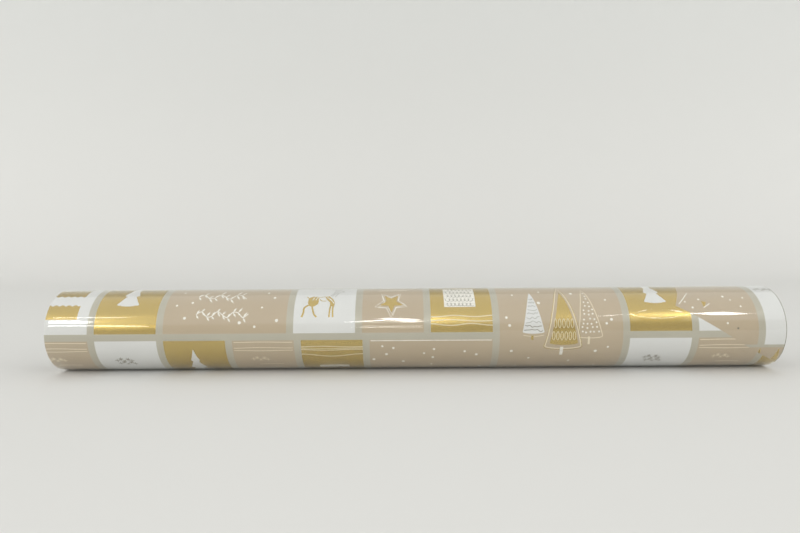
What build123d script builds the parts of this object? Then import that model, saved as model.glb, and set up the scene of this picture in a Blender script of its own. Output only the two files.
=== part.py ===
"""A roll of gift wrap: a wound cardboard core, a printed sheet wound on it, and a clear shrink film sleeve.

Millimetres, +Z up. The roll lies on its side along X, on the plane z = 0, and the origin is under its middle.
Angles go round the axis: 0 is the front (-Y), 90 the top and 180 the back (+Y).
"""

from build123d import *

import os
from math import degrees, radians, sin

# Core: three plies of board, wound and glued into a tube
core_bore_diameter = 63.5
ply_thickness = 0.6
ply_names = ("core_inner_ply", "core_middle_ply", "core_outer_ply")

# Printed sheet: its width is the length of the roll
sheet_width = 762.0
sheet_thickness = 0.1
winding_depth = 9.4  # every turn but the last, pressed together

# Last turn: its free edge stops a little short of where the turn began
free_edge_angle = 200.0
free_edge_gap = 3.0

# Tongue: a strip at the +X side that runs past the free edge, over the top, and ends in a slanted cut
tongue_width = 112.0
tongue_corner_angle = 38.7  # where the slanted cut starts, at the tongue's inner side
tongue_tip_angle = -51.6  # where it ends, at the end of the roll

# Tape that holds the sheet's first edge to the core
tape_thickness = 0.06
tape_length = 60.0
tape_width = 18.0
tape_count = 3
tape_spacing = 240.0
tape_angle = 20.0

# Shrink film: a sleeve with a lip drawn over each end and one welded seam along the back
film_thickness = 0.1
film_slack = 0.15  # air between the sheet and the film
lip_reach = 7.0  # how far the lip comes in over the end of the roll
seam_width = 3.0
seam_angle = 232.0

# Radii, from the middle outwards
bore_radius = core_bore_diameter / 2
core_radius = bore_radius + len(ply_names) * ply_thickness
winding_inner = core_radius + tape_thickness
winding_outer = winding_inner + winding_depth
turn_outer = winding_outer + sheet_thickness
tongue_outer = turn_outer + sheet_thickness
film_inner = tongue_outer + film_slack
film_outer = film_inner + film_thickness
seam_outer = film_outer + film_thickness
lip_radius = film_inner - lip_reach

# Places along the roll
half_width = sheet_width / 2
film_half = half_width + film_thickness
tongue_start = half_width - tongue_width

axis_height = film_outer


def point(radius, angle):
    """A point round the axis, in the axes of Plane.YZ."""
    return Vector(radius, 0).rotate(Axis.Z, 180 - angle)


def ring(inner, outer, x_from, x_to):
    """A tube about the axis of the roll."""
    section = Circle(outer) - Circle(inner)
    return extrude(Plane.YZ.offset(x_from) * section, x_to - x_from)


def sector(inner, outer, angle_from, angle_to, x_from, x_to):
    """A piece of a tube between two angles, the first the larger."""
    sweep_angle = angle_from - angle_to
    start = 180 - angle_from
    rim = CenterArc((0, 0), outer, start, sweep_angle)
    inside = CenterArc((0, 0), inner, start, sweep_angle)
    sides = [
        Line(point(inner, angle), point(outer, angle)) for angle in (angle_from, angle_to)
    ]
    outline = make_face(Curve() + [rim, inside, *sides])
    return extrude(Plane.YZ.offset(x_from) * outline, x_to - x_from)


def core_ply(number):
    """One ply of the core, counted from the bore."""
    inner = bore_radius + number * ply_thickness
    return ring(inner, inner + ply_thickness, -half_width, half_width)


def start_tape():
    """The strips of tape under the first turn, as separate pieces in one row."""
    spread = degrees(tape_width / core_radius) / 2
    first = -tape_spacing * (tape_count - 1) / 2
    strips = []
    for number in range(tape_count):
        middle = first + number * tape_spacing
        strips.append(
            sector(
                core_radius,
                winding_inner,
                tape_angle + spread,
                tape_angle - spread,
                middle - tape_length / 2,
                middle + tape_length / 2,
            )
        )
    return Part() + strips


def printed_sheet():
    """The wound sheet as one solid: the pressed turns, the last turn and the tongue beyond its free edge."""
    gap_angle = degrees(free_edge_gap / turn_outer)
    turns = ring(winding_inner, winding_outer, -half_width, half_width)
    last_turn = sector(
        winding_outer,
        turn_outer,
        free_edge_angle + 360 - gap_angle,
        free_edge_angle,
        -half_width,
        half_width,
    )
    tongue = sector(
        turn_outer,
        tongue_outer,
        free_edge_angle + gap_angle,
        tongue_tip_angle,
        tongue_start,
        half_width,
    )
    return turns + last_turn + (tongue - slanted_cut())


def slanted_cut():
    """What comes off the tongue's front: all below a line from its inner corner to the end of the roll."""
    middle_angle = (tongue_corner_angle + tongue_tip_angle) / 2
    half_drop = tongue_outer * sin(radians((tongue_corner_angle - tongue_tip_angle) / 2))
    middle = Vector(half_width - tongue_width / 2, 0, 0)
    outward = Vector(0, -1, 0).rotate(Axis.X, -middle_angle)
    along = Vector(tongue_width / 2, 0, -half_drop).rotate(Axis.X, -middle_angle)
    reach = 2 * tongue_outer
    block = Box(2 * reach, reach, reach, align=(Align.CENTER, Align.MIN, Align.MIN))
    return Plane(origin=middle, x_dir=along, z_dir=along.cross(outward)) * block


def film_sleeve():
    """The sleeve with its two lips, and the seam folded flat against the back."""
    tube = ring(film_inner, film_outer, -film_half, film_half)
    lips = [
        ring(lip_radius, film_inner, side * half_width, side * film_half) for side in (-1, 1)
    ]
    spread = degrees(seam_width / film_outer) / 2
    seam = sector(
        film_outer,
        seam_outer,
        seam_angle + spread,
        seam_angle - spread,
        -film_half,
        film_half,
    )
    return tube + lips + seam


def save(name, shape):
    """Lifts a piece onto the plane z = 0 and writes it as its own file."""
    export_step(Pos(0, 0, axis_height) * shape, f"parts/{name}.step")


os.makedirs("parts", exist_ok=True)
for ply_number, ply_name in enumerate(ply_names):
    save(ply_name, core_ply(ply_number))
save("start_tape", start_tape())
save("printed_sheet", printed_sheet())
save("film_sleeve", film_sleeve())
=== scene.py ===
import math
import random

import bpy
from mathutils import Matrix, Vector
from mathutils.geometry import delaunay_2d_cdt


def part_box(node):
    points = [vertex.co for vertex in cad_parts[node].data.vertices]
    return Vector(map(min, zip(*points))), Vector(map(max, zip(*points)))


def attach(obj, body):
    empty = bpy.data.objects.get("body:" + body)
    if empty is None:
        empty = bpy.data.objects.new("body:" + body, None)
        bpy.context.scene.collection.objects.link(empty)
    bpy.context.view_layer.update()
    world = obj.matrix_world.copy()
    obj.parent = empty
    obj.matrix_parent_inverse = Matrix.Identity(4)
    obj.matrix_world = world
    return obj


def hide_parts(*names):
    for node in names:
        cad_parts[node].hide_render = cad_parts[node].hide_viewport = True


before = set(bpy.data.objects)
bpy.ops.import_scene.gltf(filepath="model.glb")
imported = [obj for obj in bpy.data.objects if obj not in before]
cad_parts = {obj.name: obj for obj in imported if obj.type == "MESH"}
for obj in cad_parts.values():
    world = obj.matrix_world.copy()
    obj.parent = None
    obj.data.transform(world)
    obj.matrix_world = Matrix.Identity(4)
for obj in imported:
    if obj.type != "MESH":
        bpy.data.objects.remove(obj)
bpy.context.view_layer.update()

# Places that everything is worked out from. The roll lies along X on z = 0, and angles go round
# its axis: 0 is the front (-Y), a quarter turn is the top. Flat print sizes are in millimetres.
mm = 0.001
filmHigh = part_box("film_sleeve")[1]
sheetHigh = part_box("printed_sheet")[1]
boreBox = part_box("core_inner_ply")
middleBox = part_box("core_middle_ply")
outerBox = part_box("core_outer_ply")

roll = {
    "sheetThickness": 0.1 * mm,
    "filmThickness": 0.04 * mm,
    "filmSlack": 0.25 * mm,  # from the film's outside to the sheet
}
axisHeight = filmHigh.y
filmRadius = filmHigh.y
halfWidth = sheetHigh.x
tongueRadius = filmRadius - roll["filmSlack"]
turnRadius = tongueRadius - roll["sheetThickness"]
coreRadius = outerBox[1].y
windingRadius = turnRadius - roll["sheetThickness"]


def onRoll(x, angle, radius):
    return Vector((x, -radius * math.cos(angle), axisHeight + radius * math.sin(angle)))


class Nodes:
    # a short way to write one material's node tree
    def __init__(self, name):
        self.material = bpy.data.materials.new(name)
        self.material.use_nodes = True
        self.tree = self.material.node_tree
        self.shader = self.tree.nodes["Principled BSDF"]
        self.out = self.tree.nodes["Material Output"]

    def add(self, kind, **values):
        node = self.tree.nodes.new("ShaderNode" + kind)
        for key, value in values.items():
            setattr(node, key, value)
        return node

    def link(self, source, target):
        self.tree.links.new(source, target)

    def coords(self, stretch):
        source = self.add("TexCoord")
        mapping = self.add("Mapping")
        mapping.inputs["Scale"].default_value = stretch
        self.link(source.outputs["Object"], mapping.inputs["Vector"])
        return mapping.outputs[0]

    def noise(self, stretch, scale, detail=3.0):
        node = self.add("TexNoise")
        node.inputs["Scale"].default_value = scale
        node.inputs["Detail"].default_value = detail
        self.link(self.coords(stretch), node.inputs["Vector"])
        return node.outputs["Fac"]

    def between(self, value, low, high):
        node = self.add("MapRange")
        node.inputs["To Min"].default_value = low
        node.inputs["To Max"].default_value = high
        self.link(value, node.inputs["Value"])
        return node.outputs[0]

    def blend(self, value, first, second):
        node = self.add("Mix", data_type="RGBA")
        node.inputs["A"].default_value = (*first, 1)
        node.inputs["B"].default_value = (*second, 1)
        self.link(value, node.inputs["Factor"])
        return node.outputs["Result"]

    def bump(self, value, distance, strength=1.0):
        node = self.add("Bump")
        node.inputs["Distance"].default_value = distance
        node.inputs["Strength"].default_value = strength
        self.link(value, node.inputs["Height"])
        return node.outputs[0]


stageLook = {
    "lens": 26.0,
    "distance": 0.639,  # from the roll's axis
    "sight": 10.0,  # degrees above the horizon, at the roll
    "pitch": 3.97,  # degrees down
    "aside": -0.015,
    "roll": 0.38,  # degrees
    "skyColour": (0.915, 0.92, 0.905),
    "roomColour": (0.585, 0.57, 0.52),  # the dim room behind the camera
    "roomSide": (-0.5, -0.78),  # where it fades in, as a direction's Y
    "roomTop": (0.42, 0.30),  # and as its Z
    "floorColour": (0.685, 0.68, 0.66),
    "wallColour": (0.655, 0.662, 0.65),
}


def makeCamera():
    look = stageLook
    data = bpy.data.cameras.new("mainCamera")
    data.lens = look["lens"]
    data.sensor_width = 36
    data.clip_start = 0.01
    camera = bpy.data.objects.new("mainCamera", data)
    sight = math.radians(look["sight"])
    camera.location = (
        look["aside"],
        -look["distance"] * math.cos(sight),
        axisHeight + look["distance"] * math.sin(sight),
    )
    camera.rotation_euler = (math.radians(90 - look["pitch"]), math.radians(look["roll"]), 0)
    bpy.context.scene.collection.objects.link(camera)
    bpy.context.scene.camera = camera


def makeSky():
    world = bpy.data.worlds.new("lightTent")
    bpy.context.scene.world = world
    world.use_nodes = True
    tree = world.node_tree
    tree.nodes.clear()
    coords = tree.nodes.new("ShaderNodeTexCoord")
    split = tree.nodes.new("ShaderNodeSeparateXYZ")
    behind = tree.nodes.new("ShaderNodeMapRange")  # 1 towards the camera's side
    behind.interpolation_type = "SMOOTHSTEP"
    behind.inputs["From Min"].default_value, behind.inputs["From Max"].default_value = stageLook["roomSide"]
    low = tree.nodes.new("ShaderNodeMapRange")  # 1 near the horizon
    low.interpolation_type = "SMOOTHSTEP"
    low.inputs["From Min"].default_value, low.inputs["From Max"].default_value = stageLook["roomTop"]
    both = tree.nodes.new("ShaderNodeMath")
    both.operation = "MULTIPLY"
    mix = tree.nodes.new("ShaderNodeMix")
    mix.data_type = "RGBA"
    mix.inputs["A"].default_value = (*stageLook["skyColour"], 1)
    mix.inputs["B"].default_value = (*stageLook["roomColour"], 1)
    light = tree.nodes.new("ShaderNodeBackground")
    out = tree.nodes.new("ShaderNodeOutputWorld")
    link = tree.links.new
    link(coords.outputs["Generated"], split.inputs[0])
    link(split.outputs["Y"], behind.inputs["Value"])
    link(split.outputs["Z"], low.inputs["Value"])
    link(behind.outputs[0], both.inputs[0])
    link(low.outputs[0], both.inputs[1])
    link(both.outputs[0], mix.inputs["Factor"])
    link(mix.outputs["Result"], light.inputs["Color"])
    link(light.outputs[0], out.inputs["Surface"])


lamps = {  # start, end, width, brightness, and whether the film and the gold mirror it
    "lampLeft": ((-1.48, -1.44, 0.95), (-1.22, -1.44, 0.97), 0.14, 7, True),
    "lampLeftLow": ((-1.40, -1.46, 0.53), (-0.90, -1.42, 0.50), 0.13, 5, True),
    "lampLeftHigh": ((-1.50, -1.36, 1.33), (-1.15, -1.35, 1.36), 0.04, 8, True),
    "lampMiddle": ((-0.075, -1.34, 0.86), (0.04, -1.32, 0.88), 0.42, 6.5, True),
    "lampMiddleTail": ((-0.21, -1.34, 0.70), (0.0, -1.32, 0.82), 0.05, 8, True),
    "lampMiddleLow": ((-0.20, -1.40, 0.36), (0.05, -1.40, 0.35), 0.02, 7, True),
    "lampRight": ((1.04, -1.14, 1.06), (1.235, -1.12, 1.12), 0.20, 8, True),
    "lampRightDim": ((0.70, -1.18, 0.98), (1.08, -1.15, 1.08), 0.07, 5.5, True),
    "lampSideLeft": ((-3.2, -2.9, 0.60), (-3.2, 0.5, 0.60), 0.95, 4.6, False),
    "lampSideRight": ((3.2, -2.9, 0.60), (3.2, 0.5, 0.60), 0.95, 4.6, False),
}


def makeLamp(name, start, end, width, brightness, mirrored):
    # a lamp from start to end that faces the roll
    start, end = Vector(start), Vector(end)
    middle = (start + end) / 2
    data = bpy.data.lights.new(name, "AREA")
    data.shape = "ELLIPSE"
    data.size = (end - start).length
    data.size_y = width
    data.energy = math.pi * data.size * data.size_y * brightness
    lamp = bpy.data.objects.new(name, data)
    along = (end - start).normalized()
    back = (middle - Vector((0, 0, axisHeight))).normalized()
    side = back.cross(along).normalized()
    back = along.cross(side)
    lamp.matrix_world = Matrix.Translation(middle) @ Matrix((along, side, back)).transposed().to_4x4()
    lamp.visible_glossy = mirrored
    lamp.visible_camera = False
    bpy.context.scene.collection.objects.link(lamp)


backdrop = {"front": -3.0, "back": 1.6, "bend": 0.7, "bendSteps": 16, "top": 3.0, "halfWidth": 4.0}


def makeFloor():
    # a floor that curves up into a backdrop
    look = stageLook
    back, bend, steps = backdrop["back"], backdrop["bend"], backdrop["bendSteps"]
    profile = [(backdrop["front"], 0.0), (back - bend, 0.0)]
    for step in range(1, steps + 1):
        turn = math.pi / 2 * step / steps
        profile.append((back - bend + bend * math.sin(turn), bend - bend * math.cos(turn)))
    profile.append((back, backdrop["top"]))
    verts = [(x, y, z) for y, z in profile for x in (-backdrop["halfWidth"], backdrop["halfWidth"])]
    faces = [(2 * i, 2 * i + 1, 2 * i + 3, 2 * i + 2) for i in range(len(profile) - 1)]
    mesh = bpy.data.meshes.new("floor")
    mesh.from_pydata(verts, [], faces)
    mesh.shade_smooth()
    floor = bpy.data.objects.new("floor", mesh)
    bpy.context.scene.collection.objects.link(floor)
    n = Nodes("floorPaper")
    height = n.add("SeparateXYZ")
    n.link(n.add("TexCoord").outputs["Object"], height.inputs[0])
    colour = n.blend(height.outputs["Z"], look["floorColour"], look["wallColour"])
    n.link(colour, n.shader.inputs["Base Color"])
    n.shader.inputs["Roughness"].default_value = 0.9
    n.shader.inputs["Specular IOR Level"].default_value = 0.1
    mesh.materials.append(n.material)


bpy.context.scene.view_settings.view_transform = "Standard"
makeCamera()
makeSky()
makeFloor()
for lampName, lampValues in lamps.items():
    makeLamp(lampName, *lampValues)
print("stage ready")


def inkMaterial(name, first, second, roughness, metallic=0.0, ripple=0.01):
    # a printed ink: cloudy tone, slightly uneven gloss, and the sheet's faint ripple
    n = Nodes(name)
    tone = n.between(n.noise((1, 1, 1), 28, 4), -0.3, 1.3)
    n.link(n.blend(tone, first, second), n.shader.inputs["Base Color"])
    spread = 0.012 if metallic > 0.5 else 0.06  # foil is even in gloss
    gloss = n.between(n.noise((1, 6, 6), 90), roughness - spread, roughness + spread)
    n.link(gloss, n.shader.inputs["Roughness"])
    n.shader.inputs["Metallic"].default_value = metallic
    wave = n.noise((1, 9, 9), 14, 2)
    n.link(n.bump(wave, ripple * mm, 0.6), n.shader.inputs["Normal"])
    return n.material


inkColours = {  # two tones, roughness, metallic
    "border": ((0.51, 0.485, 0.395), (0.47, 0.445, 0.365), 0.34, 0.2),
    "taupe": ((0.505, 0.41, 0.285), (0.475, 0.385, 0.265), 0.42, 0.0),
    "gold": ((0.63, 0.47, 0.142), (0.58, 0.43, 0.13), 0.26, 1.0),
    "white": ((0.73, 0.735, 0.725), (0.70, 0.705, 0.70), 0.40, 0.0),
    "cream": ((0.80, 0.72, 0.55), (0.76, 0.67, 0.50), 0.30, 0.15),
    "grey": ((0.24, 0.22, 0.16), (0.20, 0.18, 0.13), 0.35, 0.2),
    "haze": ((0.44, 0.44, 0.41), (0.40, 0.40, 0.37), 0.35, 0.2),
    "pearl": ((0.88, 0.86, 0.80), (0.82, 0.80, 0.74), 0.28, 0.1),
}
inkNames = list(inkColours)
inks = [inkMaterial(name + "Ink", *values) for name, values in inkColours.items()]


def paperMaterial():
    n = Nodes("bareSheet")
    fibre = n.noise((1, 1, 1), 1600, 4)
    # rings of painted shade, darker where the turns lie looser and the gaps between them fall into shade,
    # seen on the cut ends
    place = n.add("Mapping")
    across = n.add("VectorMath", operation="MULTIPLY")
    radius = n.add("VectorMath", operation="LENGTH")
    place.inputs["Location"].default_value = (0, 0, -axisHeight)
    across.inputs[1].default_value = (0, 1, 1)
    n.link(n.add("TexCoord").outputs["Object"], place.inputs["Vector"])
    n.link(place.outputs[0], across.inputs[0])
    n.link(across.outputs[0], radius.inputs[0])
    rings = n.add("TexNoise", noise_dimensions="1D")
    rings.inputs["Scale"].default_value = 1100
    rings.inputs["Detail"].default_value = 3
    n.link(radius.outputs["Value"], rings.inputs["W"])
    tone = n.add("Math", operation="ADD", use_clamp=True)
    n.link(n.between(fibre, -0.1, 0.1), tone.inputs[0])
    n.link(n.between(rings.outputs[0], -0.7, 1.7), tone.inputs[1])
    # the dark end of this blend is the painted shade of the gaps between turns
    n.link(n.blend(tone.outputs[0], (0.52, 0.50, 0.45), (0.83, 0.81, 0.77)), n.shader.inputs["Base Color"])
    n.shader.inputs["Roughness"].default_value = 0.85
    n.link(n.bump(fibre, 0.02 * mm, 0.5), n.shader.inputs["Normal"])
    return n.material


def boardMaterial(name, dark, light):
    # grey-brown board with fibres and small flecks
    n = Nodes(name)
    fibre = n.noise((0.25, 1, 1), 900, 6)
    fleck = n.add("TexVoronoi")
    fleck.inputs["Scale"].default_value = 700
    n.link(n.coords((0.5, 1, 1)), fleck.inputs["Vector"])
    spots = n.between(fleck.outputs["Distance"], 1.0, 0.82)
    tint = n.add("Mix", data_type="RGBA", blend_type="MULTIPLY")
    tint.inputs["Factor"].default_value = 1
    n.link(n.blend(fibre, dark, light), tint.inputs["A"])
    n.link(spots, tint.inputs["B"])
    n.link(tint.outputs["Result"], n.shader.inputs["Base Color"])
    n.shader.inputs["Roughness"].default_value = 0.92
    n.link(n.bump(fibre, 0.05 * mm, 0.7), n.shader.inputs["Normal"])
    return n.material


def tapeMaterial():
    n = Nodes("tapeFilm")
    n.link(n.between(n.noise((1, 1, 1), 300), 0.2, 0.4), n.shader.inputs["Roughness"])
    n.shader.inputs["Base Color"].default_value = (0.85, 0.83, 0.72, 1)
    return n.material


def filmMaterial():
    # clear film: lets the print through and mirrors the room, more so at a low angle
    n = Nodes("clearFilm")
    n.tree.nodes.remove(n.shader)
    clear = n.add("BsdfTransparent")
    clear.inputs["Color"].default_value = (0.985, 0.985, 0.98, 1)
    shine = n.add("BsdfGlossy")
    shine.inputs["Color"].default_value = (1, 1, 1, 1)
    n.link(n.between(n.noise((1, 5, 5), 60), 0.03, 0.09), shine.inputs["Roughness"])
    ripple = n.noise((0.12, 1.4, 1.4), 110, 2)
    n.link(n.bump(ripple, 0.03 * mm, 0.5), shine.inputs["Normal"])
    mirror = n.add("Fresnel")
    mirror.inputs["IOR"].default_value = 1.54
    twice = n.add("Math", operation="MULTIPLY")  # both of the film's faces mirror: 2F / (1 + F)
    twice.inputs[1].default_value = 2
    whole = n.add("Math", operation="ADD")
    whole.inputs[1].default_value = 1
    both = n.add("Math", operation="DIVIDE")
    n.link(mirror.outputs[0], twice.inputs[0])
    n.link(mirror.outputs[0], whole.inputs[0])
    n.link(twice.outputs[0], both.inputs[0])
    n.link(whole.outputs[0], both.inputs[1])
    outside = n.add("NewGeometry")
    front = n.add("Math", operation="SUBTRACT", use_clamp=True)  # only faces turned to the eye mirror
    n.link(both.outputs[0], front.inputs[0])
    n.link(outside.outputs["Backfacing"], front.inputs[1])
    mix = n.add("MixShader")
    n.link(front.outputs[0], mix.inputs[0])
    n.link(clear.outputs[0], mix.inputs[1])
    n.link(shine.outputs[0], mix.inputs[2])
    n.link(mix.outputs[0], n.out.inputs["Surface"])
    return n.material


bareSheet = paperMaterial()
print("materials ready")


# The print: flat shapes in millimetres, x along the roll and y up round it.
layout = {
    "tile": 63.5,
    "wide": 126.6,
    "border": 7.2,
    "left": -400.6,  # the first tile's left side, beyond the sheet's end
    "low": 2.3,  # the lower side of the upper front row
    "bendStep": 2.0,  # how finely the mesh is cut to bend round the roll
}
layout["pitch"] = layout["tile"] + layout["border"]


def rectangle(x, y, wide, tall):
    return [(x, y), (x + wide, y), (x + wide, y + tall), (x, y + tall)]


def disc(x, y, radius, corners):
    turns = [2 * math.pi * i / corners for i in range(corners)]
    return [(x + radius * math.cos(t), y + radius * math.sin(t)) for t in turns]


def star(x, y, radius, inner, turn=-90):
    points = []
    for i in range(10):
        t = math.radians(turn + 36 * i)
        r = inner if i % 2 else radius
        points.append((x + r * math.cos(t), y + r * math.sin(t)))
    return points


def curve(points, steps=5):
    # a smooth line through the points
    ends = [points[0], *points, points[-1]]
    line = []
    for a, b, c, d in zip(ends, ends[1:], ends[2:], ends[3:]):
        for i in range(steps):
            t = i / steps
            line.append(tuple(
                0.5 * (2 * q + (r - p) * t + (2 * p - 5 * q + 4 * r - s) * t * t
                       + (3 * q - p - 3 * r + s) * t ** 3)
                for p, q, r, s in zip(a, b, c, d)
            ))
    return line + [points[-1]]


def stroke(points, width, closed=False):
    # a pen line as a row of quads
    count = len(points)
    sides = []
    for i, (x, y) in enumerate(points):
        before = points[i - 1] if closed or i else points[i]
        after = points[(i + 1) % count] if closed or i < count - 1 else points[i]
        dx, dy = after[0] - before[0], after[1] - before[1]
        length = math.hypot(dx, dy) or 1
        dx, dy = dx / length * width / 2, dy / length * width / 2
        sides.append(((x - dy, y + dx), (x + dy, y - dx)))
    pairs = zip(sides, sides[1:] + sides[:1]) if closed else zip(sides, sides[1:])
    quads = []
    for corners in pairs:
        corners = [*corners[0], *corners[1]]
        cx, cy = sum(x for x, _ in corners) / 4, sum(y for _, y in corners) / 4
        quads.append(sorted(corners, key=lambda p: math.atan2(p[1] - cy, p[0] - cx)))
    return quads


def area(polygon):
    return sum(x * v - u * y for (x, y), (u, v) in zip(polygon, polygon[1:] + polygon[:1])) / 2


def coneTree(x, low, half, tall, lean=0.0, grow=0.0):
    # a tall cone with a rounded foot; grow makes a larger copy round it for an outline
    half, tall, low = half + grow, tall + 2.6 * grow, low - grow
    foot = [(x + half * math.cos(math.pi + math.pi * i / 10), low - 0.17 * half * math.sin(math.pi * i / 10))
            for i in range(11)]
    right = [(x + lean + half * 0.52, low + tall * 0.52), (x + lean + half * 0.22, low + tall * 0.83)]
    top = [(x + lean, low + tall)]
    left = [(x + lean - half * 0.22, low + tall * 0.83), (x + lean - half * 0.55, low + tall * 0.5)]
    return foot + right + top + left


def firTree(x, low, half, tall, waist=0.42):
    # a cut-out fir whose tiers flare over one another, with a frilled hem
    right, left, hem = [], [], []
    tiers, frill = 3, 0.8
    for i in range(tiers):
        wide = half * (1 - 0.62 * i / (tiers - 1))
        y, neck = low + tall * i / tiers, low + tall * (i + 0.86) / tiers
        narrow = 0 if i == tiers - 1 else wide * waist
        bend = (wide * 0.62 + narrow * 0.38, y + (neck - y) * 0.34)
        right += [(x + wide, y), (x + bend[0], bend[1])] + ([(x + narrow, neck)] if narrow else [])
        left += [(x - wide, y), (x - bend[0], bend[1])] + ([(x - narrow, neck)] if narrow else [])
    for k in range(1, 12):
        u = k / 12
        dip = 0.16 * half * math.sin(math.pi * u) + (frill if k % 2 else 0)
        hem.append((x - half + 2 * half * u, low - dip))
    return hem + right + [(x, low + tall)] + left[::-1]


def waves(shapes, ink, x, y, wide, rise, width, bends=3, phase=0.0):
    points = [(x + wide * i / 36, y + rise * math.sin(phase + bends * math.pi * i / 36)) for i in range(37)]
    shapes += [(ink, quad) for quad in stroke(points, width)]


def dots(shapes, x, y, places, size=1.5):
    for i, (dx, dy) in enumerate(places):
        shapes.append(("pearl", disc(x + dx, y + dy, size * (0.8 + 0.35 * ((i * 5) % 4) / 3), 9)))


def garland(shapes, x, y, wide, tall, seed):
    # a springy stem with leaves both ways
    rng = random.Random(seed)
    count = max(4, int(wide / 5.2))
    stem = [(x + wide * i / count, y + tall * 0.30 * math.sin(1.9 * i)) for i in range(count + 1)]
    shapes += [("pearl", quad) for quad in stroke(curve(stem, 4), 0.95)]
    for i in range(count):
        px, py = stem[i]
        for side in (1, -1):
            reach = tall * (0.45 + 0.25 * rng.random())
            lean = (0.5 + 0.4 * rng.random()) * side
            tip = (px + reach * 0.55, py + reach * lean * 1.1)
            leaf = [(px, py), ((px + tip[0]) / 2 + 0.8, (py + tip[1]) / 2 - 0.5 * side), tip,
                    ((px + tip[0]) / 2 - 0.8, (py + tip[1]) / 2 + 0.6 * side)]
            shapes.append(("pearl", leaf))


def smallMarks(shapes, x, y, ink="grey"):
    # a sprinkle of tiny crosses and sprigs
    for i, (dx, dy) in enumerate([(0, 1.5), (3.9, 3.4), (7.4, 0.4), (11.3, 2.8), (15.0, 0.8)]):
        arms = 3 if i % 2 else 2
        for arm in range(arms):
            t = math.pi * arm / arms + 0.4 * i
            reach = 2.7 - 0.3 * (i % 3)
            a = (x + dx - reach * math.cos(t), y + dy - reach * math.sin(t))
            b = (x + dx + reach * math.cos(t), y + dy + reach * math.sin(t))
            shapes += [(ink, quad) for quad in stroke([a, b], 0.7)]


def giftTile(shapes, x, y, wide):
    shapes.append(("white", rectangle(x, y, wide, layout["tile"])))
    shapes.append(("gold", rectangle(x + 10.9, y + 15.5, 41, 45)))
    low, high, teeth = y + 31, y + 44.5, 13
    band = [(x + 9.4 + 44 * i / teeth, low + (1.6 if i % 2 else -0.4)) for i in range(teeth + 1)]
    band += [(x + 9.4 + 44 * i / teeth, high + (1.6 if i % 2 else -0.4)) for i in range(teeth, -1, -1)]
    shapes.append(("white", band))


def firTile(shapes, x, y, wide):
    shapes.append(("gold", rectangle(x, y, wide, layout["tile"])))
    shapes.append(("white", firTree(x + wide / 2 - 1.5, y + 32.5, 11.6, 42)))


def slimFirTile(shapes, x, y, wide):
    shapes.append(("gold", rectangle(x, y, wide, layout["tile"])))
    shapes.append(("white", firTree(x + wide / 2 - 2.2, y + 9, 12.5, 45, 0.34)))
    shapes.append(("white", rectangle(x + wide / 2 - 1.6, y + 2.5, 2.4, 6)))


def garlandTile(shapes, x, y, wide):
    shapes.append(("taupe", rectangle(x, y, wide, layout["tile"])))
    garland(shapes, x + 31, y + 43.5, 51, 13, 3)
    garland(shapes, x + 33, y + 20, 54, 11.5, 8)
    dots(shapes, x, y, [(11.1, 30.9), (26.7, 34.6), (21.5, 16.3), (78.3, 11.2), (100.2, 27.9),
                        (103.8, 50.6), (111.7, 41.2), (116.5, 13.3), (14, 52), (94, 7)])


def deerTile(shapes, x, y, wide):
    # a standing deer in loose brush marks
    shapes.append(("white", rectangle(x, y, wide, layout["tile"])))
    rump = [(13.5, 33), (14, 40.5), (19, 43), (23.5, 41.5), (25, 37), (24.5, 32), (20, 28.5), (16, 29)]
    chest = [(31, 42.5), (35.5, 43.2), (40, 38), (42, 33), (41, 28), (37.5, 29), (36.5, 34), (33, 38)]
    neck = [
        [(36.5, 43.5), (39.5, 48), (41.5, 54), (45.5, 55.5), (50, 53.5), (49.5, 51.8), (45.5, 50.5),
         (41.5, 42)],
        [(38.5, 43), (42, 49), (44, 53)],
        [(42.5, 55.5), (40, 58.8), (42, 61)],
        [(44.2, 55.8), (47, 58.6), (46.2, 61)],
        [(40.6, 58), (37.6, 59.8)],
    ]
    limbs = [
        ([(15.5, 31), (10.5, 27), (9.8, 21.5), (8.2, 16.6)], 1.9),
        ([(18, 30), (19.5, 24), (21, 19.5), (23.6, 16.6)], 1.7),
        ([(37.6, 30), (36.8, 23), (36.6, 16.4)], 1.6),
        ([(40.2, 30), (40.0, 23), (40.4, 16.4)], 1.6),
        ([(24, 40.5), (28, 36.2), (32.5, 36)], 1.0),
        ([(21.5, 42.6), (27, 41.6), (31, 43)], 0.8),
        ([(14.2, 40), (12, 42.4)], 1.0),
    ]
    for part in (rump, chest):
        shapes.append(("gold", [(x + px, y + py) for px, py in part]))
    for line in neck:
        points = curve([(x + px, y + py) for px, py in line], 4)
        shapes.extend(("haze", quad) for quad in stroke(points, 0.85))
    for line, width in limbs:
        points = curve([(x + px, y + py) for px, py in line], 4)
        shapes.extend(("gold", quad) for quad in stroke(points, width))
    for i in range(3):  # light stripes over the flank
        line = [(x + 20 + 3.2 * i, y + 41.5), (x + 18.2 + 3.2 * i, y + 37)]
        shapes.extend(("white", quad) for quad in stroke(line, 0.8))
    for i in range(3):
        line = [(x + 33 + 2.6 * i, y + 41.6 - 2.4 * i), (x + 38 + 1.6 * i, y + 37.6 - 2.6 * i)]
        shapes.extend(("white", quad) for quad in stroke(line, 0.9))


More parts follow.
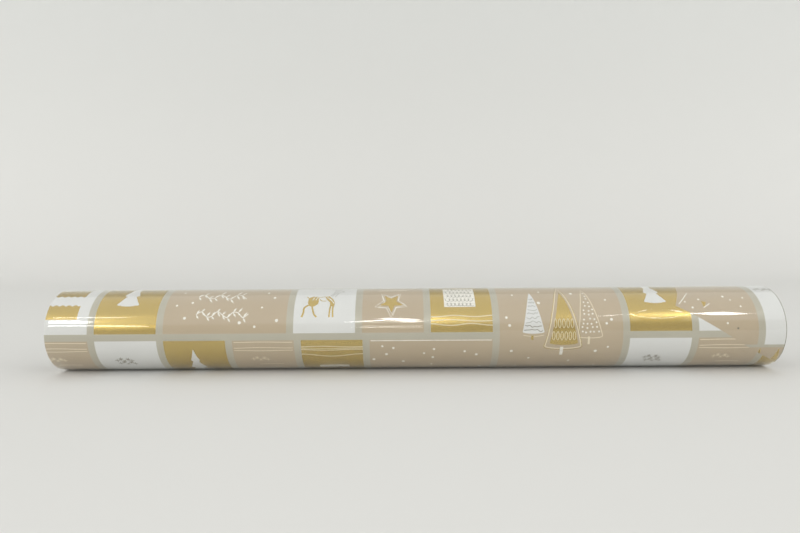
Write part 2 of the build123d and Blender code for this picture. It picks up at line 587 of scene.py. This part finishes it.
def starTile(shapes, x, y, wide):
    shapes.append(("taupe", rectangle(x, y, wide, layout["tile"])))
    cx, cy = x + 29.8, y + 33.2
    shapes += [("pearl", quad) for quad in stroke(star(cx, cy, 17.4, 8.2), 0.8, True)]
    shapes += [("pearl", quad) for quad in stroke(star(cx + 0.7, cy - 0.4, 15.0, 7.3, -84), 0.7, True)]
    shapes.append(("gold", star(cx + 0.4, cy + 0.3, 12.6, 5.4)))
    shapes += [("cream", quad) for quad in stroke([(x + 17, y + 54.8), (x + 47, y + 55.6)], 1.5)]
    for i, rise in enumerate((5.2, 7.2, 11.0)):
        waves(shapes, "cream", x + 1, y + rise, wide - 2, 0.35, 0.5, 2 + i, i)


def presentTile(shapes, x, y, wide):
    shapes.append(("gold", rectangle(x, y, wide, layout["tile"])))
    left, low, side, tall = x + 14.4, y + 27, 32.5, 31
    shapes.append(("pearl", rectangle(left, low, side, tall)))
    rng = random.Random(12)
    for row in range(5):  # rows of small pen loops over the wrapping
        line, level = [], low + 3.1 + (tall - 6.2) * row / 4
        for i in range(42):
            t, loose = 1.05 * i + 2.3 * row + 0.5 * rng.random(), 1 + 0.25 * rng.random()
            along = left + 2.6 + (side - 5.2) * i / 41
            line.append((along + 1.6 * math.cos(t), level + 1.9 * loose * math.sin(t)))
        shapes += [("grey", quad) for quad in stroke(line, 0.5)]
    for rise, amount, bends in ((8.0, 0.9, 3), (12.2, 0.8, 2), (16.8, 0.7, 3)):
        waves(shapes, "cream", x, y + rise, wide, amount, 0.9, bends, rise)


def threeTreeTile(shapes, x, y, wide):
    # two rows tall; y is the lower side of the lower row
    tall = 2 * layout["tile"] + layout["border"]
    base = y + layout["pitch"] - layout["low"]  # the height that the sizes below count from
    shapes.append(("taupe", rectangle(x, y, wide, tall)))
    first, second, third = x + 34.6, x + 65.3, x + 92.8
    # the left tree: white, scribbled over
    shapes.append(("white", coneTree(first, base + 2.2, 11.2, 47)))
    rng = random.Random(5)
    for row in range(9):
        half = 9.6 * (1 - row / 10)
        line = [(first - half + 2 * half * i / 7, base + 3.5 + row * 4.4 + rng.uniform(-1.2, 1.2))
                for i in range(8)]
        shapes += [("grey" if row < 2 else "haze", quad) for quad in stroke(curve(line, 3), 0.7)]
    foot = [(first - 10.6 + 21.2 * i / 8, base - 1.2 - 1.4 * math.sin(math.pi * i / 8)) for i in range(9)]
    shapes += [("cream", quad) for quad in stroke(foot, 0.6)]
    shapes.append(("gold", rectangle(first - 2.6, base - 6.2, 2.6, 4.6)))
    # the right tree: an outline with dots
    outline = coneTree(third, base - 2.4, 12.6, 58, -1.5)
    shapes += [("cream", quad) for quad in stroke(outline, 0.85, True)]
    for row in range(11):
        half = 10.6 * (1 - row / 11.5)
        count = max(1, round(2 * half / 4.6))
        for i in range(count):
            px = third - 0.13 * row - half + 2 * half * (i + 0.5) / count + rng.uniform(-0.7, 0.7)
            py = base + 1.5 + row * 4.6 + rng.uniform(-0.9, 0.9)
            shapes.append(("pearl", disc(px, py, 1.0, 7)))
    shapes.append(("cream", rectangle(third - 2.4, base - 11.4, 2.2, 8.4)))
    # the middle tree: gold with a cream outline, in front of the others
    shapes.append(("taupe", coneTree(second, base - 12.4, 18.0, 71, 0.6, 1.1)))
    outline = coneTree(second, base - 12.4, 18.0, 71, 0.6, 0.6)
    shapes += [("cream", quad) for quad in stroke(outline, 1.1, True)]
    outline = coneTree(second, base - 12.4, 18.0, 71, 0.6, 1.7)
    shapes += [("gold", quad) for quad in stroke(outline, 0.5, True)]
    shapes.append(("gold", coneTree(second + 0.6, base - 9.6, 14.6, 59, 0.6)))
    for low, half, loopTall, count in ((base - 6.6, 10.6, 9.0, 6), (base + 6.0, 8.6, 9.5, 5)):
        for i in range(count):  # rows of standing loops
            px = second - half + 2 * half * i / (count - 1) + 0.6
            loop = [(px + 1.35 * math.sin(t), low + loopTall / 2 - loopTall / 2 * math.cos(t))
                    for t in (2 * math.pi * k / 12 for k in range(12))]
            shapes += [("cream", quad) for quad in stroke(loop, 0.55, True)]
    shapes.append(("pearl", rectangle(second - 2.6, base - 24.5, 3.2, 10.4)))
    dots(shapes, x, base, [(16.2, 45.6), (7.2, 17.1), (10.1, 9.0), (78.6, 47.5), (112.4, 37.2),
                           (109.8, 10.5), (115.0, 14.5), (99.5, -19.5), (111.8, -14.7), (31.5, -29.1),
                           (12.6, -18.9), (42.2, 33.8), (45.3, 51.2), (74, -34), (20, -46), (52, -52),
                           (103, -44), (88, -57)])


def linedTile(shapes, x, y, wide):
    shapes.append(("taupe", rectangle(x, y, wide, layout["tile"])))
    for rise, amount in ((61.6, 0.2), (55.3, 0.35), (52.0, 0.3)):
        waves(shapes, "cream", x + 1.5, y + rise, wide - 3, amount, 0.75, 2, rise)
    smallMarks(shapes, x + 20, y + 39, "cream")
    waves(shapes, "cream", x + 25, y + 31, 25, 0.4, 0.9, 1)
    dots(shapes, x, y, [(9, 14), (51, 9), (30, 6)], size=0.8)


def marksTile(shapes, x, y, wide):
    shapes.append(("white", rectangle(x, y, wide, layout["tile"])))
    smallMarks(shapes, x + 19, y + 38)
    smallMarks(shapes, x + 21, y + 33)


def wavesTile(shapes, x, y, wide):
    shapes.append(("gold", rectangle(x, y, wide, layout["tile"])))
    for rise, amount, width, bends in ((56.1, 0.5, 0.8, 2), (54.1, 0.4, 0.5, 1), (52.4, 0.5, 0.7, 2),
                                       (45.6, 1.5, 0.9, 2), (14, 0.9, 0.9, 2)):
        waves(shapes, "cream", x, y + rise, wide, amount, width, bends, rise)
    waves(shapes, "pearl", x + 17, y + 24.5, 31, 0.3, 6.5, 1)


def dotsTile(shapes, x, y, wide):
    shapes.append(("taupe", rectangle(x, y, wide, layout["tile"])))
    waves(shapes, "pearl", x + 1, y + 62.4, wide - 2, 0.1, 0.9, 1)
    dots(shapes, x, y, [(13.1, 56.2), (24.4, 54), (17.2, 46.3), (4, 38.8), (56.2, 47.3), (66.4, 52.5),
                        (65.4, 41.5), (34.6, 34.8), (64.4, 28.4), (98.2, 49.5), (110.5, 45.3), (88, 17),
                        (22, 12), (50, 9), (116, 22), (104, 6)])


def paintRow(shapes, low, tiles):
    # tiles from left to right; None leaves a wide place for a tile that spans two rows
    x = layout["left"]
    for tile in tiles:
        wide = layout["wide"] if tile in (garlandTile, dotsTile, threeTreeTile, None) else layout["tile"]
        if tile:
            tile(shapes, x, low, wide)
        x += wide + layout["border"]


def paintSheet():
    shapes = []
    low, pitch = layout["low"], layout["pitch"]
    paintRow(shapes, low, [giftTile, firTile, garlandTile, deerTile, starTile, presentTile, None,
                           firTile, giftTile, linedTile])
    paintRow(shapes, low - pitch, [linedTile, marksTile, slimFirTile, linedTile, wavesTile, dotsTile,
                                   threeTreeTile, marksTile, linedTile, wavesTile])
    paintRow(shapes, low + pitch, [dotsTile, presentTile, linedTile, firTile, garlandTile, giftTile,
                                   wavesTile, dotsTile, deerTile])
    paintRow(shapes, low - 2 * pitch, [wavesTile, garlandTile, deerTile, firTile, linedTile, marksTile,
                                       dotsTile, starTile, presentTile, linedTile])
    paintRow(shapes, low + 2 * pitch, [marksTile, dotsTile, wavesTile, linedTile, garlandTile, marksTile,
                                       slimFirTile, dotsTile, linedTile])
    return shapes


def paintTongue():
    # the same sheet one turn on, so its rows and columns come elsewhere; the grey line along its right end is
    # painted shade at the sheet's cut end
    shapes = []
    low, pitch = -13.1, layout["pitch"]
    column = 359.4
    start = column - layout["border"] - layout["wide"]
    shapes.append(("taupe", rectangle(start, low, layout["wide"], 90)))
    dots(shapes, start, low, [(56, 47), (71, 50), (62, 40), (98, 54), (118, 52)], size=1.2)
    shapes.append(("gold", [(299.5, 26.5), (303.5, 33.5), (298.5, 34.5)]))
    shapes += [("pearl", quad) for quad in stroke([(299.0, 26.5), (306.5, 31.5)], 0.9)]
    shapes.append(("grey", disc(331, 4.5, 1.2, 7)))
    dots(shapes, start, low, [(104, 49), (112, 41), (95, 23), (108.5, -3.5)], size=1.1)
    shapes.append(("white", rectangle(column, low, layout["tile"], 90)))
    smallMarks(shapes, 364.0, 52)
    shapes.append(("taupe", rectangle(start, low - pitch, 260, layout["tile"] + 4)))
    shapes.append(("gold", coneTree(356.5, low - 38, 6.5, 34)))
    shapes.append(("gold", coneTree(376.0, low - 44, 7.5, 40)))
    shapes += [("pearl", quad) for quad in stroke([(274.5, 31), (281.5, 38.5), (288.5, 47)], 0.9)]
    # a grey line along the sheet's right end: painted shade at the cut edge, not print
    shapes += [("grey", quad) for quad in stroke([(380.6, -40), (380.6, 64)], 0.7)]
    dotsTile(shapes, start - 60, low + 97, layout["wide"])
    wavesTile(shapes, start + 73.8, low + 97, layout["tile"])
    return shapes


def printedPiece(name, outline, shapes, radius):
    # lays the flat print out as one mesh, wraps it on the roll and gives it its thickness
    points, faces, edges = [], [], []
    shapes = [(ink, shape) for ink, shape in shapes if abs(area(shape)) > 1e-3]
    for polygon in [outline] + [shape for _, shape in shapes]:
        polygon = polygon if area(polygon) > 0 else polygon[::-1]  # all turned the same way round
        faces.append(list(range(len(points), len(points) + len(polygon))))
        points += [Vector(p) for p in polygon]
    left, right = min(x for x, _ in outline), max(x for x, _ in outline)
    low, high = min(y for _, y in outline), max(y for _, y in outline)
    count = round((high - low) / layout["bendStep"])
    for i in range(1, count):  # lines along the roll, which let the mesh bend round it
        y = low + (high - low) * i / count
        edges.append((len(points), len(points) + 1))
        points += [Vector((left - 1, y)), Vector((right + 1, y))]
    flat, _, cells, _, _, owners = delaunay_2d_cdt(points, edges, faces, 1, 1e-4, True)
    kept = [(cell, max(owner)) for cell, owner in zip(cells, owners) if 0 in owner]
    used = sorted({i for cell, _ in kept for i in cell})
    place = {old: new for new, old in enumerate(used)}
    count = len(used)
    inner = radius - roll["sheetThickness"]
    angles = [flat[i].y * mm / turnRadius for i in used]
    verts = [onRoll(flat[i].x * mm, a, radius) for i, a in zip(used, angles)]
    verts += [onRoll(flat[i].x * mm, a, inner) for i, a in zip(used, angles)]
    polygons, slots, rims = [], [], {}
    for cell, owner in kept:
        cell = [place[i] for i in cell]
        polygons.append(cell)
        slots.append(inkNames.index(shapes[owner - 1][0]) if owner else 0)  # bare outline: border ink
        for a, b in zip(cell, cell[1:] + cell[:1]):
            if (b, a) in rims:
                del rims[b, a]
            else:
                rims[a, b] = True
    fronts = len(polygons)
    polygons += [[i + count for i in reversed(cell)] for cell in polygons[:fronts]]
    polygons += [[b, a, a + count, b + count] for a, b in rims]
    slots += [len(inks)] * (len(polygons) - fronts)
    mesh = bpy.data.meshes.new(name)
    mesh.from_pydata(verts, [], polygons)
    for material in inks + [bareSheet]:
        mesh.materials.append(material)
    mesh.polygons.foreach_set("material_index", slots)
    mesh.update()
    normals = []
    for polygon in mesh.polygons:
        for corner in polygon.vertices:
            if polygon.index < 2 * fronts:
                a = angles[corner % count]
                side = 1 if polygon.index < fronts else -1
                normals.append((0, -side * math.cos(a), side * math.sin(a)))
            else:
                normals.append(polygon.normal[:])
    mesh.shade_smooth()
    mesh.normals_split_custom_set(normals)
    piece = bpy.data.objects.new(name, mesh)
    bpy.context.scene.collection.objects.link(piece)
    print(name, len(mesh.polygons), "faces")
    return piece


def arcLength(degrees):
    return math.radians(degrees) * turnRadius / mm


lastTurnCut = {"freeEdge": -160, "start": 196}  # degrees round the roll
tongueCut = {
    "wide": 112,
    "side": [(15, 204), (14, 84), (9, 61), (1.5, 38.7)],  # in from its left, and degrees round the roll
    "corner": -51.6,
}
sheetEnd = halfWidth / mm
free, start = arcLength(lastTurnCut["freeEdge"]), arcLength(lastTurnCut["start"])
lastOutline = [(-sheetEnd, free), (sheetEnd, free), (sheetEnd, start), (-sheetEnd, start)]
lastTurn = printedPiece("lastTurn", lastOutline, paintSheet(), turnRadius)
tongueLeft = sheetEnd - tongueCut["wide"]
tongueOutline = [(sheetEnd, arcLength(tongueCut["side"][0][1]))]
tongueOutline += [(tongueLeft + inset, arcLength(turn)) for inset, turn in tongueCut["side"]]
tongueOutline.append((sheetEnd, arcLength(tongueCut["corner"])))
tongue = printedPiece("tongue", tongueOutline, paintTongue(), tongueRadius)


def turnedPiece(name, outline, segments, material, shift):
    # outline is (x, radius) round a closed section, turned round the axis; shift gives a point's
    # new x and radius from its x, angle, radius and number
    verts, faces = [], []
    size = len(outline)
    for k in range(segments):
        angle = 2 * math.pi * k / segments
        for number, (x, radius) in enumerate(outline):
            x, radius = shift(x, angle, radius, number)
            verts.append(onRoll(x, angle, radius))
        for i in range(size):
            j = (i + 1) % size
            here, there = k * size, (k + 1) % segments * size
            faces.append((here + i, here + j, there + j, there + i))
    mesh = bpy.data.meshes.new(name)
    mesh.from_pydata(verts, [], faces)
    mesh.shade_smooth()
    mesh.materials.append(material)
    piece = bpy.data.objects.new(name, mesh)
    bpy.context.scene.collection.objects.link(piece)
    return piece


core = {
    "segments": 120,
    "innerRings": 230,
    "hiddenRings": 40,
    "plyThickness": 0.6 * mm,
    "stripWidth": 100 * mm,
    "seamWidth": 3.5 * mm,
    "seamDepth": 0.3 * mm,
}


def corePly(name, inner, outer, lean, count, material):
    # a board strip wound in a spiral shows as one seam running round and along the tube
    stations = [-halfWidth + 2 * halfWidth * i / count for i in range(count + 1)]
    outline = [(x, outer) for x in stations] + [(x, inner) for x in reversed(stations)]
    advance = core["stripWidth"]

    def seam(x, angle, radius, number):
        if number <= count:
            return x, radius
        off = (x / advance - lean * angle / (2 * math.pi)) % 1
        off = min(off, 1 - off) * advance
        return x, radius + core["seamDepth"] * math.exp(-(off / core["seamWidth"]) ** 2)

    return turnedPiece(name, outline, core["segments"], material, seam)


plies = {  # box, lean of the spiral, rings, two tones
    "core_inner_ply": (boreBox, 1, core["innerRings"], (0.42, 0.34, 0.25), (0.55, 0.46, 0.35)),
    "core_middle_ply": (middleBox, -1, core["hiddenRings"], (0.36, 0.29, 0.21), (0.47, 0.39, 0.29)),
    "core_outer_ply": (outerBox, 1, core["hiddenRings"], (0.44, 0.36, 0.26), (0.57, 0.48, 0.36)),
}
corePieces = {}
for node, (plyBox, lean, count, dark, light) in plies.items():
    word = node.split("_")[1].title()
    outer = plyBox[1].y
    board = boardMaterial("board" + word, dark, light)
    corePieces[node] = corePly("core" + word + "Ply", outer - core["plyThickness"], outer, lean, count, board)
print("core ready")


winding = {
    "turns": 93,
    "steps": 72,  # to a turn
    "inner": coreRadius + 0.06 * mm,
    "fuzz": 0.55 * mm,  # how far the turns' edges stand in and out
    "fuzzScale": 900,
    "fuzzMiddle": 0.75,
    "seed": 4,
}


def windingTree():
    # the wound turns as a real spiral of sheet, laid along the axis
    tree = bpy.data.node_groups.new("woundSheet", "GeometryNodeTree")
    face = tree.interface
    face.new_socket("Geometry", in_out="OUTPUT", socket_type="NodeSocketGeometry")
    for name, kind in (("Turns", "Float"), ("Steps", "Int"), ("Inner Radius", "Float"),
                       ("Outer Radius", "Float"), ("Sheet Width", "Float"), ("Sheet Thickness", "Float"),
                       ("Edge Fuzz", "Float"), ("Seed", "Int"), ("Material", "Material")):
        face.new_socket(name, in_out="INPUT", socket_type="NodeSocket" + kind)
    new, link = tree.nodes.new, tree.links.new
    given, out = new("NodeGroupInput"), new("NodeGroupOutput")
    spiral = new("GeometryNodeCurveSpiral")
    spiral.inputs["Height"].default_value = 0
    link(given.outputs["Turns"], spiral.inputs["Rotations"])
    link(given.outputs["Steps"], spiral.inputs["Resolution"])
    link(given.outputs["Inner Radius"], spiral.inputs["Start Radius"])
    link(given.outputs["Outer Radius"], spiral.inputs["End Radius"])
    section = new("GeometryNodeCurvePrimitiveQuadrilateral")
    link(given.outputs["Sheet Thickness"], section.inputs["Width"])
    link(given.outputs["Sheet Width"], section.inputs["Height"])
    sweep = new("GeometryNodeCurveToMesh")
    sweep.inputs["Fill Caps"].default_value = True
    link(spiral.outputs[0], sweep.inputs["Curve"])
    link(section.outputs[0], sweep.inputs["Profile Curve"])
    # each turn's edge stands a little in or out
    where, split = new("GeometryNodeInputPosition"), new("ShaderNodeSeparateXYZ")
    ring = new("ShaderNodeCombineXYZ")
    link(where.outputs[0], split.inputs[0])
    link(split.outputs["X"], ring.inputs["X"])
    link(split.outputs["Y"], ring.inputs["Y"])
    length = new("ShaderNodeVectorMath")
    length.operation = "LENGTH"
    link(ring.outputs[0], length.inputs[0])
    noise = new("ShaderNodeTexNoise")
    noise.noise_dimensions = "4D"
    noise.inputs["Scale"].default_value = winding["fuzzScale"]
    spread = new("ShaderNodeCombineXYZ")
    link(length.outputs["Value"], spread.inputs["X"])
    link(spread.outputs[0], noise.inputs["Vector"])
    link(given.outputs["Seed"], noise.inputs["W"])
    centred = new("ShaderNodeMath")
    centred.operation = "SUBTRACT"
    centred.inputs[1].default_value = winding["fuzzMiddle"]
    link(noise.outputs[0], centred.inputs[0])
    sized = new("ShaderNodeMath")
    sized.operation = "MULTIPLY"
    link(centred.outputs[0], sized.inputs[0])
    link(given.outputs["Edge Fuzz"], sized.inputs[1])
    side = new("ShaderNodeMath")
    side.operation = "SIGN"
    link(split.outputs["Z"], side.inputs[0])
    signed = new("ShaderNodeMath")
    signed.operation = "MULTIPLY"
    link(sized.outputs[0], signed.inputs[0])
    link(side.outputs[0], signed.inputs[1])
    shift = new("ShaderNodeCombineXYZ")
    link(signed.outputs[0], shift.inputs["Z"])
    move = new("GeometryNodeSetPosition")
    link(sweep.outputs[0], move.inputs["Geometry"])
    link(shift.outputs[0], move.inputs["Offset"])
    lay = new("GeometryNodeTransform")
    lay.inputs["Rotation"].default_value = (0, math.pi / 2, 0)
    lay.inputs["Translation"].default_value = (0, 0, axisHeight)
    link(move.outputs[0], lay.inputs["Geometry"])
    real, paint = new("GeometryNodeRealizeInstances"), new("GeometryNodeSetMaterial")
    link(lay.outputs[0], real.inputs[0])
    link(real.outputs[0], paint.inputs["Geometry"])
    link(given.outputs["Material"], paint.inputs["Material"])
    link(paint.outputs[0], out.inputs[0])
    return tree


def woundTurns():
    holder = bpy.data.objects.new("windingMaker", bpy.data.meshes.new("windingMaker"))
    bpy.context.scene.collection.objects.link(holder)
    modifier = holder.modifiers.new("woundSheet", "NODES")
    modifier.node_group = tree = windingTree()
    values = {
        "Turns": float(winding["turns"]),
        "Steps": winding["steps"],
        "Inner Radius": winding["inner"] + roll["sheetThickness"] / 2,
        "Outer Radius": windingRadius - roll["sheetThickness"] / 2,
        "Sheet Width": 2 * halfWidth,
        "Sheet Thickness": roll["sheetThickness"] * 0.8,  # leaves air between turns
        "Edge Fuzz": winding["fuzz"],
        "Seed": winding["seed"],
        "Material": bareSheet,
    }
    for item in tree.interface.items_tree:
        if item.in_out == "INPUT":
            modifier[item.identifier] = values[item.name]
    holder.update_tag()
    depsgraph = bpy.context.evaluated_depsgraph_get()
    mesh = bpy.data.meshes.new_from_object(holder.evaluated_get(depsgraph))
    bpy.data.objects.remove(holder)
    mesh.name = "woundTurns"
    piece = bpy.data.objects.new("woundTurns", mesh)
    bpy.context.scene.collection.objects.link(piece)
    print("woundTurns", len(mesh.polygons), "faces")
    return piece


turns = woundTurns()


film = {
    "segments": 228,
    "stations": 180,
    "lipSteps": 9,
    "hole": 36.4 * mm,  # radius of the opening at each end
    "corner": 0.9 * mm,
    "endGap": 0.06 * mm,
    "ripple": 0.035 * mm,
    "pucker": 1.1 * mm,
    # long loose folds: place along, angle, half length, half width, height, slant, and bow at the middle
    "folds": [
        (0.252, 27, 0.033, 2.6, 0.42, 0.0, 9.0),
        (0.252, 27, 0.033, 2.6, 0.38, 0.0, -7.5),
        (0.312, 33, 0.030, 3.0, 0.10, -0.6, 0),
        (-0.020, 21, 0.050, 2.6, 0.09, -0.5, 0),
        (-0.345, 17, 0.055, 3.0, 0.10, -0.4, 0),
        (-0.150, 34, 0.070, 4.0, 0.08, 0.6, 0),
        (0.110, 40, 0.060, 4.5, 0.08, -0.5, 0),
    ],
}


def filmShift():
    rng = random.Random(9)
    swells = [(rng.uniform(3, 11), rng.uniform(18, 52), rng.uniform(0, 6.3), rng.uniform(0.3, 1.0))
              for _ in range(9)]
    puckers = [(rng.randint(9, 40), rng.uniform(0, 6.3), rng.uniform(0.4, 1.0)) for _ in range(7)]

    def shift(x, angle, radius, number):
        lift = 0.0
        for alongRate, roundRate, phase, share in swells:
            lift += share * math.sin(alongRate * x * 3 + round(roundRate) * angle + phase)
        lift *= film["ripple"] / 3
        degrees = math.degrees(angle)
        for place, at, halfLength, halfTall, height, slant, bow in film["folds"]:
            u = (x - place) / halfLength
            middle = at + slant * u + bow * max(0.0, 1 - u * u)
            v = ((degrees - middle + 180) % 360 - 180) / halfTall
            if abs(u) < 3 and abs(v) < 3:  # beyond that it has died away
                lift += height * mm * math.exp(-u ** (4 if bow else 2) - v * v)
        share = max(0.0, (filmRadius - film["corner"] - radius) / (filmRadius - film["hole"]))
        if share > 0:  # on the lip: puckers that deepen towards the hole
            fold = sum(a * math.sin(n * angle + p) for n, p, a in puckers) / 3
            x += math.copysign(film["pucker"] * share * (0.25 + abs(fold)), x)
            radius += share * share * fold * 0.9 * mm
            lift = 0.0
        return x, radius + lift

    return shift


def filmOutline():
    # out along one lip, along the tube, in along the other, and back by the inner face
    thickness = roll["filmThickness"]
    bend, reach = film["corner"], halfWidth + film["endGap"] + thickness
    outer = []
    for i in range(film["lipSteps"]):
        outer.append((-reach, film["hole"] + (filmRadius - bend - film["hole"]) * i / film["lipSteps"]))
    for i in range(5):
        t = math.pi / 2 * i / 4
        outer.append((-reach + bend - bend * math.cos(t), filmRadius - bend + bend * math.sin(t)))
    count = film["stations"]
    length = 2 * (reach - bend)
    outer += [(-reach + bend + length * i / count, filmRadius) for i in range(1, count)]
    outer += [(-x, r) for x, r in reversed(outer[: film["lipSteps"] + 5])]
    inner = []
    for i, (x, r) in enumerate(outer):
        before, after = outer[max(i - 1, 0)], outer[min(i + 1, len(outer) - 1)]
        dx, dr = after[0] - before[0], after[1] - before[1]
        length = math.hypot(dx, dr)
        inner.append((x + dr / length * thickness, r - dx / length * thickness))
    return outer + inner[::-1]


filmPiece = turnedPiece("filmSleeve", filmOutline(), film["segments"], filmMaterial(), filmShift())
print("filmSleeve", len(filmPiece.data.polygons), "faces")


for piece in (lastTurn, tongue, turns):
    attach(piece, "root")
    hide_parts("printed_sheet")
for node, piece in corePieces.items():
    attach(piece, "root")
    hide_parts(node)
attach(filmPiece, "root")
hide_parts("film_sleeve")

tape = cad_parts["start_tape"]
tape.data.materials.clear()
tape.data.materials.append(tapeMaterial())

print("all pieces ride")
